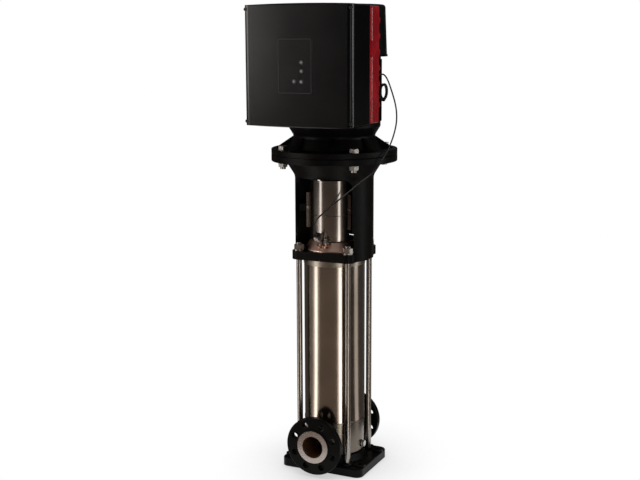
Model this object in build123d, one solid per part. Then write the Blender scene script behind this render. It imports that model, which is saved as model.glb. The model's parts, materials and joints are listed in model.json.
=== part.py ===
"""Vertical multistage pump with a flange-mounted motor and a control box, in millimetres.

The pump's upright axis is X = Y = 0, and the foot stands on Z = 0.
The inlet faces -Y, the outlet +Y, and the control box hangs on the motor's -Y side.
"""
import os
from math import cos, radians, sin, sqrt, tan

from build123d import *

# Gaps: seats of still pieces, turning pieces beside still ones, shafts in bearings
seat_gap = 0.3
turning_gap = 0.4
bearing_gap = 0.05

# Foot casting
foot_width = 248.0
foot_depth = 199.0
foot_thickness = 25.0
foot_corner_radius = 20.0
foot_edge_round = 4.0
foot_bolt_x = 215.0
foot_bolt_y = 130.0
foot_hole_radius = 6.75
foot_pad_radius = 16.0
foot_pad_height = 4.0
foot_pocket_width = 50.0
foot_pocket_length = 70.0
foot_pocket_depth = 12.0
foot_pocket_spacing = 60.0
seat_height = 41.0
seat_radius = 82.0
seat_slope = 10.0
foot_lug_radius = 17.0
foot_lug_height = 5.0

# Ports and their loose flanges
port_height = 90.0
face_to_face = 300.0
port_bore_radius = 31.0
neck_wall = 3.0
neck_flare = 12.0
stub_ring_radius = 46.5
stub_ring_thickness = 5.0
flange_radius = 82.5
flange_thickness = 18.0
flange_edge_round = 3.0
flange_bolt_circle = 125.0
flange_hole_count = 8
flange_hole_radius = 9.0

# Pump base, sleeve and head
base_radius = 85.0
base_wall = 3.0
base_bottom_round = 9.0
base_top = 141.0
base_rim_height = 6.0
drain_height = 66.0
drain_radius = 10.0
drain_thread_radius = 5.0
drain_length = 9.0
sleeve_radius = 86.0
sleeve_wall = 2.0
sleeve_length = 451.0
spigot_height = 10.0
spigot_wall = 6.0
o_ring_section = 3.0
head_collar_height = 17.0
head_wall = 5.0
head_shoulder_radius = 66.0
head_cone_height = 27.0
head_lip_height = 2.0
head_boss_radius = 36.0
head_boss_height = 34.0

# Staybolts
staybolt_offset = 74.5
staybolt_radius = 8.0
staybolt_sink = 14.0
nut_flats = 24.0
nut_height = 14.0
nut_chamfer = 1.5
washer_radius = 14.5
washer_height = 3.0
bolt_stand_out = 6.0

# Stages
stage_count = 6
stage_pitch = 66.0
stack_start = 9.0
chamber_radius = 74.0
chamber_wall = 1.5
chamber_floor = 2.0
vane_count = 7
vane_height = 24.0
vane_thickness = 2.0
vane_sweep = 50.0
return_plate_radius = 60.0
suction_cup_wall = 18.0
suction_pipe_step = 1.5
outlet_slot_count = 6
outlet_slot_width = 24.0
outlet_slot_height = 30.0
eye_radius = 25.0
eye_wall = 2.0
impeller_radius = 56.0
impeller_shroud = 1.6
impeller_channel = 14.0
impeller_lift = 5.0
blade_count = 6
blade_thickness = 1.8
blade_sweep = 75.0
hub_radius = 14.0
hub_length = 34.0

# Shafts, seal and coupling
pump_shaft_radius = 9.0
pump_shaft_top = 762.0
pump_shaft_tail = 20.0
motor_shaft_radius = 19.0
motor_journal_radius = 22.5
shaft_end_gap = 3.0
seal_radius = 19.0
seal_ring_height = 14.0
seal_seat_height = 8.0
seal_face_gap = 0.1
boss_roof = 8.0
coupling_radius = 42.0
coupling_length = 100.0
coupling_split = 3.0
coupling_screw_radius = 4.0
coupling_screw_offset = 30.0
coupling_screw_spacing = 26.0

# Motor stool
stool_height = 291.0
stool_flange_side = 187.6
stool_flange_corner = 21.0
stool_flange_thickness = 23.6
stool_radius = 110.0
stool_wall = 12.0
window_half_width = 85.5
window_height = 205.0
window_corner = 24.0
stool_plate_thickness = 19.0
bell_height = 60.0
bell_inset = 39.0
bell_round = 30.0
nut_scallop_radius = 18.0
nut_scallop_height = 58.0

# Coupling guards
guard_radius = 70.0
guard_sheet = 0.8
guard_height = 168.0
guard_half_angle = 60.0
guard_lip = 2.5
guard_bead_height = 71.0
guard_bead = 0.8
tab_length = 98.0
tab_width = 8.0
tab_lift = 31.0
guard_screw_lift = 87.0
guard_screw_radius = 2.0
guard_screw_head = 3.6
guard_lug_width = 12.0
guard_lug_height = 20.0

# Fittings on the pump head
fitting_tilt = 35.0
fitting_rise = 0.65
fitting_boss_radius = 10.5
fitting_boss_length = 4.0
fitting_thread_radius = 5.0
fitting_thread_depth = 8.0
fitting_neck_radius = 6.2
sensor_angle = -6.0
sensor_neck = 20.0
sensor_flats = 22.0
sensor_height = 12.0
sensor_socket_depth = 4.0
connector_radius = 8.0
connector_stand = 1.5
connector_sleeve_radius = 4.2
connector_sleeve_length = 8.0
vent_angle = 9.0
vent_neck = 10.0
vent_collar_radius = 11.0
vent_collar = 4.0
vent_flats = 16.0
vent_hex_height = 4.0
vent_spindle_radius = 4.0
vent_spindle_length = 4.0

# Motor
motor_flange_radius = 175.0
motor_flange_thickness = 15.4
motor_bolt_inset = 25.0
motor_bolt_radius = 8.0
motor_bolt_head = 10.0
motor_nut_height = 13.0
register_inset = 50.0
register_depth = 5.0
shield_neck_inset = 63.0
shield_neck_height = 50.0
shield_foot_inset = 43.0
shield_rim_radius = 128.0
shield_rim_height = 76.0
shield_height = 90.0
shield_wall = 12.0
gusset_count = 8
gusset_thickness = 9.0
gusset_inset = 12.0
frame_root_radius = 120.0
frame_wall = 9.0
frame_length = 168.0
fin_radius = 131.0
fin_count = 36
fin_thickness = 3.0
winding_room = 24.0
stator_inner_radius = 66.0
air_gap = 0.6
motor_bearing_radius = 45.0
motor_bearing_height = 22.0
bearing_floor = 24.0
end_shield_thickness = 14.0
end_shield_hub = 16.0
fan_radius = 112.0
fan_hub_radius = 30.0
fan_blade_count = 7
fan_blade_height = 38.0
fan_blade_thickness = 3.0
fan_disc_thickness = 4.0
fan_lift = 12.0
cover_skirt_radius = 144.5
cover_top_radius = 139.4
cover_lip = 1.8
cover_sheet = 2.0
cover_height = 138.0
cover_crown_round = 8.0
cover_overlap = 7.0
cover_lug_width = 16.0
grille_slot_count = 20
grille_slot_width = 6.0
grille_inner_radius = 46.0
grille_outer_radius = 122.0

# Control box: black cover, red heat sink, panel and keys
box_width = 310.4
box_height = 310.0
box_bottom = 989.2
box_bow = 3.0
box_corner_radius = 5.0
box_front = 228.0
cover_depth = 112.0
box_wall = 4.0
box_side_round = 14.0
box_edge_round = 5.0
sink_depth = 68.0
sink_inset = 2.5
sink_plateau_inset = 20.0
sink_plateau_wall = 12.0
saddle_gap = 0.5
bead_radius = 4.0
bead_stand = 2.5
bead_depth = 20.0
bead_end = 6.0
side_block_low = 176.0
side_block_high = 219.0
side_block_width = 18.0
lobe_radius = 8.0
lobe_width = 11.0
lobe_heights = (271.0, 230.0, 188.5, 147.0, 105.0, 50.0)
cover_screw_inset_x = 5.5
cover_screw_inset_z = 10.5
cover_screw_radius = 2.5
cover_screw_head = 4.5
cover_screw_reach = 12.0
cover_post_radius = 9.0
cover_pocket_radius = 6.5
cover_pocket_depth = 6.0
board_side = 220.0
board_thickness = 2.0
board_stand_off = 9.0
stand_off_radius = 5.0
capacitor_radius = 14.0
capacitor_length = 26.0
capacitor_count = 4
panel_width = 96.0
panel_height = 139.0
panel_centre_x = -6.0
panel_centre_z = 1143.7
panel_thickness = 2.5
panel_corner_radius = 4.0
panel_stand = 0.8
panel_rim = 2.0
panel_sunk = 0.5
key_radius = 5.6
key_stand = 1.2
key_travel = 1.0
key_dome = 1.0
key_places = {
    "key_up": (13.0, 1153.2),
    "key_down": (13.0, 1131.2),
    "key_start": (-8.3, 1104.9),
    "key_stop": (12.4, 1104.3),
}
indicator_x = -7.4
indicator_z = 1193.0
indicator_radius = 7.0
indicator_ring = 1.2

# Cable glands behind the heat sink's right wing
gland_x = 145.0
gland_heights = (1119.0, 1079.0, 1060.0)
gland_flats = 12.0
gland_length = 14.0
gland_nut = 5.0

# Sensor cable and the tied loop of a spare lead
cable_diameter = 4.0
cable_arc_share = 0.45
cable_straight = 20.0
loop_height = 48.0
loop_width = 64.0
loop_section = 9.0
loop_centre_z = 1071.0

# Heights and radii that follow from the sizes above
sleeve_top = base_top + sleeve_length
stool_bottom = sleeve_top + head_collar_height
stool_flange_top = stool_bottom + stool_flange_thickness
motor_face = stool_bottom + stool_height
collar_radius = sleeve_radius + sleeve_wall / 2
sleeve_bore = sleeve_radius - sleeve_wall
spigot_radius = sleeve_bore - seat_gap
head_lip = stool_flange_top + head_lip_height
head_shoulder = head_lip + head_cone_height
boss_top = head_shoulder + head_boss_height
guard_bottom = head_shoulder + seat_gap
stack_bottom = base_top + stack_start
stack_top = stack_bottom + stage_count * stage_pitch
neck_radius = port_bore_radius + neck_wall
motor_bolt_reach = motor_flange_radius - motor_bolt_inset
register_radius = motor_flange_radius - register_inset
shield_neck_radius = motor_flange_radius - shield_neck_inset
shield_foot_radius = motor_flange_radius - shield_foot_inset
gusset_reach = motor_flange_radius - gusset_inset
bell_radius = motor_flange_radius - bell_inset
stator_height = frame_length - 2 * winding_room
frame_bottom = motor_face + shield_height
frame_top = frame_bottom + frame_length
shield_top = frame_top + end_shield_thickness
skirt_bottom = shield_top - cover_overlap
cover_top = skirt_bottom + cover_height
box_rear = box_front - cover_depth
sink_rear = box_rear - sink_depth
box_middle_z = box_bottom + box_height / 2
wide_saddle = cover_skirt_radius + cover_lip + saddle_gap
slim_saddle = fin_radius + saddle_gap
lower_bearing_z = motor_face + bearing_floor
upper_bearing_z = frame_top - motor_bearing_height / 2
rotor_middle = (frame_bottom + frame_top) / 2
fan_bottom = shield_top + end_shield_hub + fan_lift
AT_BOTTOM = (Align.CENTER, Align.CENTER, Align.MIN)
AT_TOP = (Align.CENTER, Align.CENTER, Align.MAX)
CORNERS = [(x, y) for x in (-1, 1) for y in (-1, 1)]


def save(shape, node):
    """Writes one sub-part under its own name."""
    export_step(shape, f"parts/{node}.step")


def group(solids):
    """Several separate solids of one kind as one sub-part."""
    return Compound(children=list(solids))


def outline(points, rounds=None):
    """Closed flat outline; rounds maps a corner's number to its radius."""
    face = make_face(Polyline(*points, close=True))
    for corner, radius in (rounds or {}).items():
        vertex = face.vertices().sort_by_distance(Vector(*points[corner], 0))[0]
        face = fillet(vertex, radius)
    return face


def lathe(points, rounds=None, arc=360):
    """Solid turned about the pump's axis from corners given as (radius, height)."""
    return revolve(Plane.XZ * outline(points, rounds), Axis.Z, arc)


def tube(outer, inner, low, high):
    """Straight pipe about the pump's axis."""
    return lathe([(inner, low), (outer, low), (outer, high), (inner, high)])


def rod(radius, low, high):
    """Round bar about the pump's axis."""
    return Pos(0, 0, low) * Cylinder(radius, high - low, align=AT_BOTTOM)


def hexagon(flats, height):
    """Hexagon bar standing on its lower face."""
    return extrude(RegularPolygon(flats / 2, 6, major_radius=False), height)


def nut(flats, height, hole):
    """Hexagon nut whose upper corners are turned down."""
    corner = flats / sqrt(3)
    dome = lathe([(0, 0), (corner, 0), (corner, height - nut_chamfer), (flats / 2, height), (0, height)])
    blank = hexagon(flats, height) & dome
    return blank - Cylinder(hole, height, align=AT_BOTTOM)


def along_port(points, rounds=None):
    """Solid turned about the port axis from corners (radius, distance along -Y)."""
    solid = revolve(Plane.XZ * outline(points, rounds), Axis.Z, 360)
    return Pos(0, 0, port_height) * Rot(90, 0, 0) * solid


def bar_y(radius, x, z, front, back):
    """Round bar along Y from front to back, both measured towards -Y."""
    return Pos(x, -back, z) * Rot(90, 0, 0) * Cylinder(radius, front - back, align=AT_BOTTOM)


def slab_y(face, x, z, front, back):
    """Flat outline in X and Z, made a slab from front to back, both measured towards -Y."""
    return Pos(x, -back, z) * Rot(90, 0, 0) * extrude(face, front - back)


def curved_blade(inner, outer, sweep, thickness, low, high):
    """Blade on an arc that leans backwards by the sweep from its inner to its outer end."""
    lean = radians(sweep)
    middle = (inner + outer) / 2
    arc = ThreePointArc(
        (inner, 0),
        (middle * cos(0.34 * lean), middle * sin(0.34 * lean)),
        (outer * cos(lean), outer * sin(lean)),
    )
    return Pos(0, 0, low) * extrude(trace(arc, thickness), high - low)


def staybolt_places():
    """The four staybolts stand on a square about the axis."""
    return [(x * staybolt_offset, y * staybolt_offset) for x, y in CORNERS]


def motor_bolt_places():
    """The four motor bolts lie at 45 degrees to the ports."""
    reach = motor_bolt_reach * cos(radians(45))
    return [(x * reach, y * reach) for x, y in CORNERS]


# Foot casting: plate, round seat for the base, bolt pads and staybolt lugs
def make_foot():
    plate = extrude(RectangleRounded(foot_width, foot_depth, foot_corner_radius), foot_thickness)
    casting = fillet(plate.edges().group_by(Axis.Z)[-1], foot_edge_round)
    casting += lathe([
        (0, foot_thickness / 2),
        (seat_radius + seat_slope, foot_thickness / 2),
        (seat_radius + seat_slope, foot_thickness),
        (seat_radius, seat_height),
        (0, seat_height),
    ])
    pad = Cylinder(foot_pad_radius, foot_thickness + foot_pad_height, align=AT_BOTTOM)
    lug = Cylinder(foot_lug_radius, foot_thickness + foot_lug_height, align=AT_BOTTOM)
    hole = Cylinder(foot_hole_radius, foot_thickness + foot_pad_height, align=AT_BOTTOM)
    thread = Cylinder(staybolt_radius, seat_height, align=AT_BOTTOM)
    for x, y in CORNERS:
        casting += Pos(x * foot_bolt_x / 2, y * foot_bolt_y / 2, 0) * pad
    for x, y in staybolt_places():
        casting += Pos(x, y, 0) * lug
    for x, y in CORNERS:
        casting -= Pos(x * foot_bolt_x / 2, y * foot_bolt_y / 2, 0) * hole
    for x, y in staybolt_places():
        casting -= Pos(x, y, foot_thickness - staybolt_sink) * thread
    corner = foot_pocket_width / 5
    pocket = extrude(RectangleRounded(foot_pocket_width, foot_pocket_length, corner), foot_pocket_depth)
    for side in (-1, 1):
        casting -= Pos(side * foot_pocket_spacing / 2, 0, 0) * pocket
    return casting


# Pump base: welded drum with two necks, each ending in a raised ring
def make_base():
    rim = base_top - base_rim_height
    drum = lathe([
        (0, seat_height),
        (base_radius, seat_height),
        (base_radius, rim),
        (collar_radius, rim),
        (collar_radius, base_top),
        (spigot_radius, base_top),
        (spigot_radius, base_top + spigot_height),
        (0, base_top + spigot_height),
    ], {1: base_bottom_round})
    reach = face_to_face / 2
    neck = along_port([
        (0, 0),
        (neck_radius + neck_flare, 0),
        (neck_radius + neck_flare, base_radius - neck_flare),
        (neck_radius, base_radius + neck_flare),
        (neck_radius, reach - stub_ring_thickness),
        (stub_ring_radius, reach - stub_ring_thickness),
        (stub_ring_radius, reach),
        (0, reach),
    ])
    inside_wall = base_radius - base_wall
    spigot_bore = spigot_radius - spigot_wall
    inside = lathe([
        (0, seat_height + base_wall),
        (inside_wall, seat_height + base_wall),
        (inside_wall, rim),
        (spigot_bore, rim),
        (spigot_bore, base_top + spigot_height),
        (0, base_top + spigot_height),
    ], {1: base_bottom_round - base_wall})
    bore = bar_y(port_bore_radius, 0, port_height, reach, -reach)
    drain = Pos(0, 0, drain_height) * Rot(0, 90, 0) * Cylinder(
        drain_thread_radius, base_radius, align=AT_BOTTOM)
    groove_low = base_top + (spigot_height - o_ring_section) / 2
    groove = tube(sleeve_radius, spigot_radius - o_ring_section, groove_low, groove_low + o_ring_section)
    return drum + neck + Rot(0, 0, 180) * neck - inside - bore - drain - groove


# Loose flange behind the neck's ring
def make_loose_flange():
    hole = neck_radius + turning_gap
    front = face_to_face / 2 - stub_ring_thickness - seat_gap
    back = front - flange_thickness
    disc = along_port(
        [(hole, back), (flange_radius, back), (flange_radius, front), (hole, front)],
        {1: flange_edge_round, 2: flange_edge_round},
    )
    for number in range(flange_hole_count):
        turn = radians(360 * (number + 0.5) / flange_hole_count)
        x = flange_bolt_circle / 2 * cos(turn)
        z = port_height + flange_bolt_circle / 2 * sin(turn)
        disc -= bar_y(flange_hole_radius, x, z, front, back)
    return disc


# Drain plug: collar and hexagon head on the drum's +X side
def make_drain_plug():
    thread_length = base_wall + seat_gap
    thread = Pos(0, 0, base_radius - base_wall) * Cylinder(
        drain_thread_radius - bearing_gap, thread_length, align=AT_BOTTOM)
    collar = Pos(0, 0, base_radius + seat_gap) * Cylinder(drain_radius, drain_length / 3, align=AT_BOTTOM)
    head_flats = drain_radius * sqrt(3) * 0.95
    head = Pos(0, 0, base_radius + seat_gap + drain_length / 3) * hexagon(head_flats, drain_length * 2 / 3)
    return Pos(0, 0, drain_height) * Rot(0, 90, 0) * (thread + collar + head)


# Suction guide: cup whose pipe meets the drum at the inlet and leads the water up to the first impeller
def make_suction_guide():
    cup = eye_radius + suction_cup_wall
    pipe_bore = port_bore_radius + suction_pipe_step
    pipe = pipe_bore + chamber_wall
    low = port_height - pipe - chamber_wall
    deck = stack_bottom - chamber_floor
    outside = lathe([
        (0, low),
        (cup, low),
        (cup, deck),
        (chamber_radius, deck),
        (chamber_radius, stack_bottom),
        (0, stack_bottom),
    ], {1: suction_cup_wall / 2})
    drum = rod(base_radius - base_wall - seat_gap, low, stack_bottom)
    spigot = bar_y(pipe, 0, port_height, base_radius, 0) & drum
    inside = lathe([
        (0, low + chamber_wall),
        (cup - chamber_wall, low + chamber_wall),
        (cup - chamber_wall, deck),
        (eye_radius + turning_gap, deck),
        (eye_radius + turning_gap, stack_bottom),
        (0, stack_bottom),
    ], {1: suction_cup_wall / 2 - chamber_wall})
    way_in = bar_y(pipe_bore, 0, port_height, base_radius, 0)
    return outside + spigot - inside - way_in


# Stage chamber: wall and floor, return plate, and curved vanes that lead the water inwards
def make_chamber(stage):
    low = stack_bottom + stage * stage_pitch
    top = low + stage_pitch
    inner = chamber_radius - chamber_wall
    plate = top - vane_height
    body = tube(chamber_radius, inner, low, top)
    body += tube(inner, eye_radius + turning_gap, low, low + chamber_floor)
    body += tube(return_plate_radius, hub_radius + turning_gap, plate - chamber_floor, plate)
    vane_root = plate - chamber_floor / 2
    reach = chamber_radius - chamber_wall / 2
    vane = curved_blade(eye_radius, reach, vane_sweep, vane_thickness, vane_root, top)
    for number in range(vane_count):
        body += Rot(0, 0, 360 * number / vane_count) * vane
    return body


# Impeller: two shrouds, backward-curved blades between them, eye ring and hub
def make_impeller(stage):
    low = stack_bottom + stage * stage_pitch
    front = low + impeller_lift
    channel = front + impeller_shroud
    back = channel + impeller_channel
    eye_bore = eye_radius - eye_wall
    body = tube(eye_radius, eye_bore, low + chamber_floor / 4, channel)
    body += tube(impeller_radius, eye_bore, front, channel)
    body += tube(impeller_radius, pump_shaft_radius, back, back + impeller_shroud)
    body += tube(hub_radius, pump_shaft_radius, channel, low + hub_length)
    blade_low = channel - impeller_shroud / 2
    blade_high = back + impeller_shroud / 2
    tip = impeller_radius - blade_thickness / 2
    blade = curved_blade(eye_bore - eye_wall, tip, -blade_sweep, blade_thickness, blade_low, blade_high)
    for number in range(blade_count):
        body += Rot(0, 0, 360 * number / blade_count) * blade
    return body


# Top chamber: slotted cup that leads the water out over the last stage
def make_top_chamber():
    inner_corner = spigot_radius - head_wall
    rise = (head_shoulder - head_wall) - (head_lip - head_wall / 2)
    run = inner_corner - (head_shoulder_radius - head_wall)
    top = head_lip - head_wall / 2 + (inner_corner - chamber_radius) * rise / run - seat_gap
    inner = chamber_radius - chamber_wall
    body = tube(chamber_radius, inner, stack_top, top)
    body += tube(inner, hub_radius + turning_gap, stack_top, stack_top + chamber_floor)
    slot = Pos(chamber_radius, 0, stack_top + stage_pitch / 2) * Box(
        chamber_radius / 2, outlet_slot_width, outlet_slot_height)
    for number in range(outlet_slot_count):
        body -= Rot(0, 0, 360 * number / outlet_slot_count) * slot
    way = Pos(0, 0, stack_top) * Cylinder(outlet_slot_width / 4, chamber_floor, align=AT_BOTTOM)
    way_radius = (hub_radius + chamber_radius) / 2
    for number in range(outlet_slot_count):
        body -= Rot(0, 0, 360 * number / outlet_slot_count) * Pos(way_radius, 0, 0) * way
    return body


# Outer sleeve and its two sealing rings
def make_o_rings():
    section = Pos(spigot_radius - o_ring_section / 2, 0) * Circle(o_ring_section / 2 - bearing_gap)
    ring = revolve(Plane.XZ * section, Axis.Z, 360)
    heights = (base_top + spigot_height / 2, sleeve_top - spigot_height / 2)
    return group(Pos(0, 0, height) * ring for height in heights)


# Staybolts with their washers and nuts on the stool's lower flange
def make_staybolts():
    top = stool_flange_top + washer_height + nut_height + bolt_stand_out
    bolt = rod(staybolt_radius - bearing_gap, foot_thickness - staybolt_sink, top)
    bolt = chamfer(bolt.edges().group_by(Axis.Z)[-1], nut_chamfer)
    return group(Pos(x, y, 0) * bolt for x, y in staybolt_places())


def make_staybolt_nuts():
    one = nut(nut_flats, nut_height, staybolt_radius)
    height = stool_flange_top + washer_height
    return group(Pos(x, y, height) * Rot(0, 0, 15) * one for x, y in staybolt_places())


def make_staybolt_washers():
    low = stool_flange_top
    washer = tube(washer_radius, staybolt_radius + seat_gap, low, low + washer_height)
    return group(Pos(x, y, 0) * washer for x, y in staybolt_places())


def fitting_frame(angle):
    """Place of a fitting on the head's cone; its own axis leans outwards from the upright."""
    radius = spigot_radius - fitting_rise * (spigot_radius - head_shoulder_radius)
    height = head_lip + fitting_rise * (head_shoulder - head_lip)
    return Rot(0, 0, angle) * Pos(0, -radius, height) * Rot(fitting_tilt, 0, 0)


# Pump head: collar over the sleeve, cone inside the stool, boss for the shaft seal
def make_head():
    outside = lathe([
        (0, sleeve_top - spigot_height),
        (spigot_radius, sleeve_top - spigot_height),
        (spigot_radius, sleeve_top),
        (collar_radius, sleeve_top),
        (collar_radius, stool_bottom),
        (spigot_radius, stool_bottom),
        (spigot_radius, head_lip),
        (head_shoulder_radius, head_shoulder),
        (head_boss_radius + 8, head_shoulder),
        (head_boss_radius, head_shoulder + 8),
        (head_boss_radius, boss_top),
        (0, boss_top),
    ], {6: 3.0, 7: 6.0, 10: 2.0})
    inner = spigot_radius - head_wall
    seal_bore = seal_radius + seat_gap
    shaft_hole = pump_shaft_radius + 2
    inside = lathe([
        (0, sleeve_top - spigot_height),
        (inner, sleeve_top - spigot_height),
        (inner, head_lip - head_wall / 2),
        (head_shoulder_radius - head_wall, head_shoulder - head_wall),
        (seal_bore, head_shoulder - head_wall),
        (seal_bore, boss_top - boss_roof),
        (shaft_hole, boss_top - boss_roof),
        (shaft_hole, boss_top),
        (0, boss_top),
    ])
    groove_low = sleeve_top - (spigot_height + o_ring_section) / 2
    groove = tube(sleeve_radius, spigot_radius - o_ring_section, groove_low, groove_low + o_ring_section)
    head = outside
    boss = Pos(0, 0, fitting_boss_length) * Cylinder(
        fitting_boss_radius, 3 * fitting_boss_length, align=AT_TOP)
    for angle in (sensor_angle, vent_angle):
        head += fitting_frame(angle) * boss
    head = head - inside - groove
    drill = Pos(0, 0, fitting_boss_length) * Cylinder(
        fitting_thread_radius, fitting_thread_depth, align=AT_TOP)
    for angle in (sensor_angle, vent_angle):
        head -= fitting_frame(angle) * drill
    return head


def fitting_neck(length):
    """Threaded end of a fitting, down in its boss, and the round neck above it."""
    thread = Cylinder(fitting_thread_radius - bearing_gap, fitting_thread_depth, align=AT_TOP)
    neck = Cylinder(fitting_neck_radius, length, align=AT_BOTTOM)
    return Pos(0, 0, fitting_boss_length) * (thread + neck)


# Vent plug: neck, round collar, hexagon and the spindle that bleeds the air
def make_vent_plug():
    collar_low = fitting_boss_length + vent_neck
    hex_low = collar_low + vent_collar
    plug = fitting_neck(vent_neck)
    plug += Pos(0, 0, collar_low) * Cylinder(vent_collar_radius, vent_collar, align=AT_BOTTOM)
    plug += Pos(0, 0, hex_low) * hexagon(vent_flats, vent_hex_height)
    spindle = Cylinder(vent_spindle_radius, vent_spindle_length, align=AT_BOTTOM)
    spindle = chamfer(spindle.edges().group_by(Axis.Z)[-1], 1.0)
    plug += Pos(0, 0, hex_low + vent_hex_height) * spindle
    return fitting_frame(vent_angle) * plug


# Pressure sensor: neck and hexagonal head with a socket for the plug
def make_sensor():
    head = Pos(0, 0, fitting_boss_length + sensor_neck) * nut(
        sensor_flats, sensor_height, fitting_thread_radius)
    core = Cylinder(fitting_neck_radius, sensor_neck + sensor_height - sensor_socket_depth, align=AT_BOTTOM)
    socket = Pos(0, 0, connector_floor) * Cylinder(
        connector_radius + bearing_gap, sensor_height, align=AT_BOTTOM)
    body = fitting_neck(sensor_neck) + head + Pos(0, 0, fitting_boss_length) * core - socket
    return fitting_frame(sensor_angle) * body


connector_floor = fitting_boss_length + sensor_neck + sensor_height - sensor_socket_depth
connector_end = connector_floor + sensor_socket_depth + connector_stand + connector_sleeve_length


def beyond_plug(distance):
    """Point on the plug's axis, so far beyond the sleeve that the cable leaves it by."""
    return (fitting_frame(sensor_angle) * Pos(0, 0, connector_end + distance)).position


# Plug in the sensor's socket, with the sleeve that the cable leaves it by
def make_connector():
    plug = Cylinder(connector_radius, sensor_socket_depth + connector_stand, align=AT_BOTTOM)
    plug = chamfer(plug.edges().group_by(Axis.Z)[-1], 1.0)
    sleeve = Cylinder(
        connector_sleeve_radius, connector_end - connector_floor, align=AT_BOTTOM)
    sleeve = chamfer(sleeve.edges().group_by(Axis.Z)[-1], 1.0)
    return fitting_frame(sensor_angle) * Pos(0, 0, connector_floor) * (plug + sleeve)


# Shaft seal: still seat under the boss's roof, turning ring below it on the shaft
def make_seal_seat():
    roof = boss_top - boss_roof
    return tube(seal_radius, pump_shaft_radius + 1, roof - seal_seat_height, roof)


def make_seal_ring():
    face = boss_top - boss_roof - seal_seat_height - seal_face_gap
    return lathe([
        (pump_shaft_radius, face - seal_ring_height),
        (seal_radius - 3, face - seal_ring_height),
        (seal_radius - 3, face - seal_ring_height / 3),
        (seal_radius - 1, face - seal_ring_height / 3),
        (seal_radius - 1, face),
        (pump_shaft_radius, face),
    ])


# Motor stool: square lower flange, two curved legs, bell and round upper plate
def make_stool():
    plate_bottom = motor_face - stool_plate_thickness
    half = stool_flange_side / 2
    flange = Pos(0, 0, stool_bottom) * extrude(
        RectangleRounded(stool_flange_side, stool_flange_side, stool_flange_corner), stool_flange_thickness)
    shell = lathe([
        (0, stool_bottom),
        (stool_radius, stool_bottom),
        (stool_radius, motor_face - bell_height),
        (bell_radius, plate_bottom),
        (motor_flange_radius, plate_bottom),
        (motor_flange_radius, motor_face),
        (0, motor_face),
    ], {2: bell_round, 3: bell_round / 3, 4: 2.0, 5: 2.0})
    inner = stool_radius - stool_wall
    bell_bore = register_radius - stool_wall * 0.75
    inside = lathe([
        (0, stool_bottom),
        (spigot_radius + seat_gap, stool_bottom),
        (spigot_radius + seat_gap, stool_flange_top),
        (inner, stool_flange_top),
        (inner, motor_face - bell_height),
        (bell_bore, plate_bottom),
        (bell_bore, motor_face - register_depth),
        (register_radius, motor_face - register_depth),
        (register_radius, motor_face),
        (0, motor_face),
    ])
    window = slab_y(
        RectangleRounded(2 * window_half_width, 2 * window_height, window_corner),
        0, stool_flange_top, 2 * stool_radius, -2 * stool_radius)
    window &= Pos(0, 0, stool_flange_top) * Box(
        4 * stool_radius, 4 * stool_radius, window_height, align=AT_BOTTOM)
    stool = shell - window
    for side in (-1, 1):
        bulge = Pos(0, side * (half + stool_radius), stool_bottom) * Box(
            4 * half, 2 * stool_radius, stool_flange_thickness, align=AT_BOTTOM)
        stool -= bulge
    stool = stool + flange - inside
    lug_depth = inner - guard_radius
    lug = Pos(guard_radius + guard_sheet + seat_gap, 0, guard_screw_z) * Box(
        lug_depth, guard_lug_width, guard_lug_height, align=(Align.MIN, Align.MIN, Align.CENTER))
    hole = Pos(guard_screw_reach, 0, guard_screw_z) * Rot(-90, 0, 0) * Cylinder(
        guard_screw_radius, guard_lug_width, align=AT_BOTTOM)
    for one in at_guard_edges(lug - hole):
        stool += one
    for x, y in staybolt_places():
        scallop = Cylinder(nut_scallop_radius, nut_scallop_height, align=AT_BOTTOM)
        stool -= Pos(x, y, stool_flange_top) * scallop
        stool -= Pos(x, y, stool_bottom) * Cylinder(
            staybolt_radius + seat_gap, stool_flange_thickness, align=AT_BOTTOM)
    for x, y in motor_bolt_places():
        spot = Cylinder(nut_scallop_radius, bell_height, align=AT_TOP)
        stool -= Pos(x, y, plate_bottom) * spot
        stool -= Pos(x, y, plate_bottom) * Cylinder(
            motor_bolt_radius + seat_gap, stool_plate_thickness, align=AT_BOTTOM)
    return stool


guard_screw_z = guard_bottom + guard_screw_lift
guard_screw_reach = guard_radius + guard_sheet + tab_width / 2


def at_guard_edges(piece, guards=(0, 180)):
    """Copies of a piece at the guards' edges, from one built along +X with +Y away from the sheet."""
    right = Rot(0, 0, guard_half_angle - 90) * piece
    front = [right, mirror(right, Plane.YZ)]
    return [Rot(0, 0, turn) * one for turn in guards for one in front]


# Coupling guard: bent sheet with an upper lip, a pressed bead and two screwed tabs
def make_guard(turn):
    outer = guard_radius + guard_sheet
    top = guard_bottom + guard_height
    bead = guard_bottom + guard_bead_height
    profile = [
        (guard_radius, guard_bottom),
        (outer, guard_bottom),
        (outer, bead - guard_bead),
        (outer + guard_bead, bead),
        (outer, bead + guard_bead),
        (outer, top - guard_sheet),
        (outer + guard_lip, top - guard_sheet),
        (outer + guard_lip, top),
        (guard_radius, top),
    ]
    sheet = Rot(0, 0, -90 - guard_half_angle) * lathe(profile, arc=2 * guard_half_angle)
    tab = Pos(guard_radius, -guard_sheet, guard_bottom + tab_lift) * Box(
        guard_sheet + tab_width, guard_sheet, tab_length, align=(Align.MIN, Align.MIN, Align.MIN))
    hole = Pos(guard_screw_reach, -2 * guard_sheet, guard_screw_z) * Rot(-90, 0, 0) * Cylinder(
        guard_screw_radius + bearing_gap, 3 * guard_sheet, align=AT_BOTTOM)
    guard = sheet
    for one in at_guard_edges(tab - hole, guards=(0,)):
        guard += one
    return Rot(0, 0, turn) * guard


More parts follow.
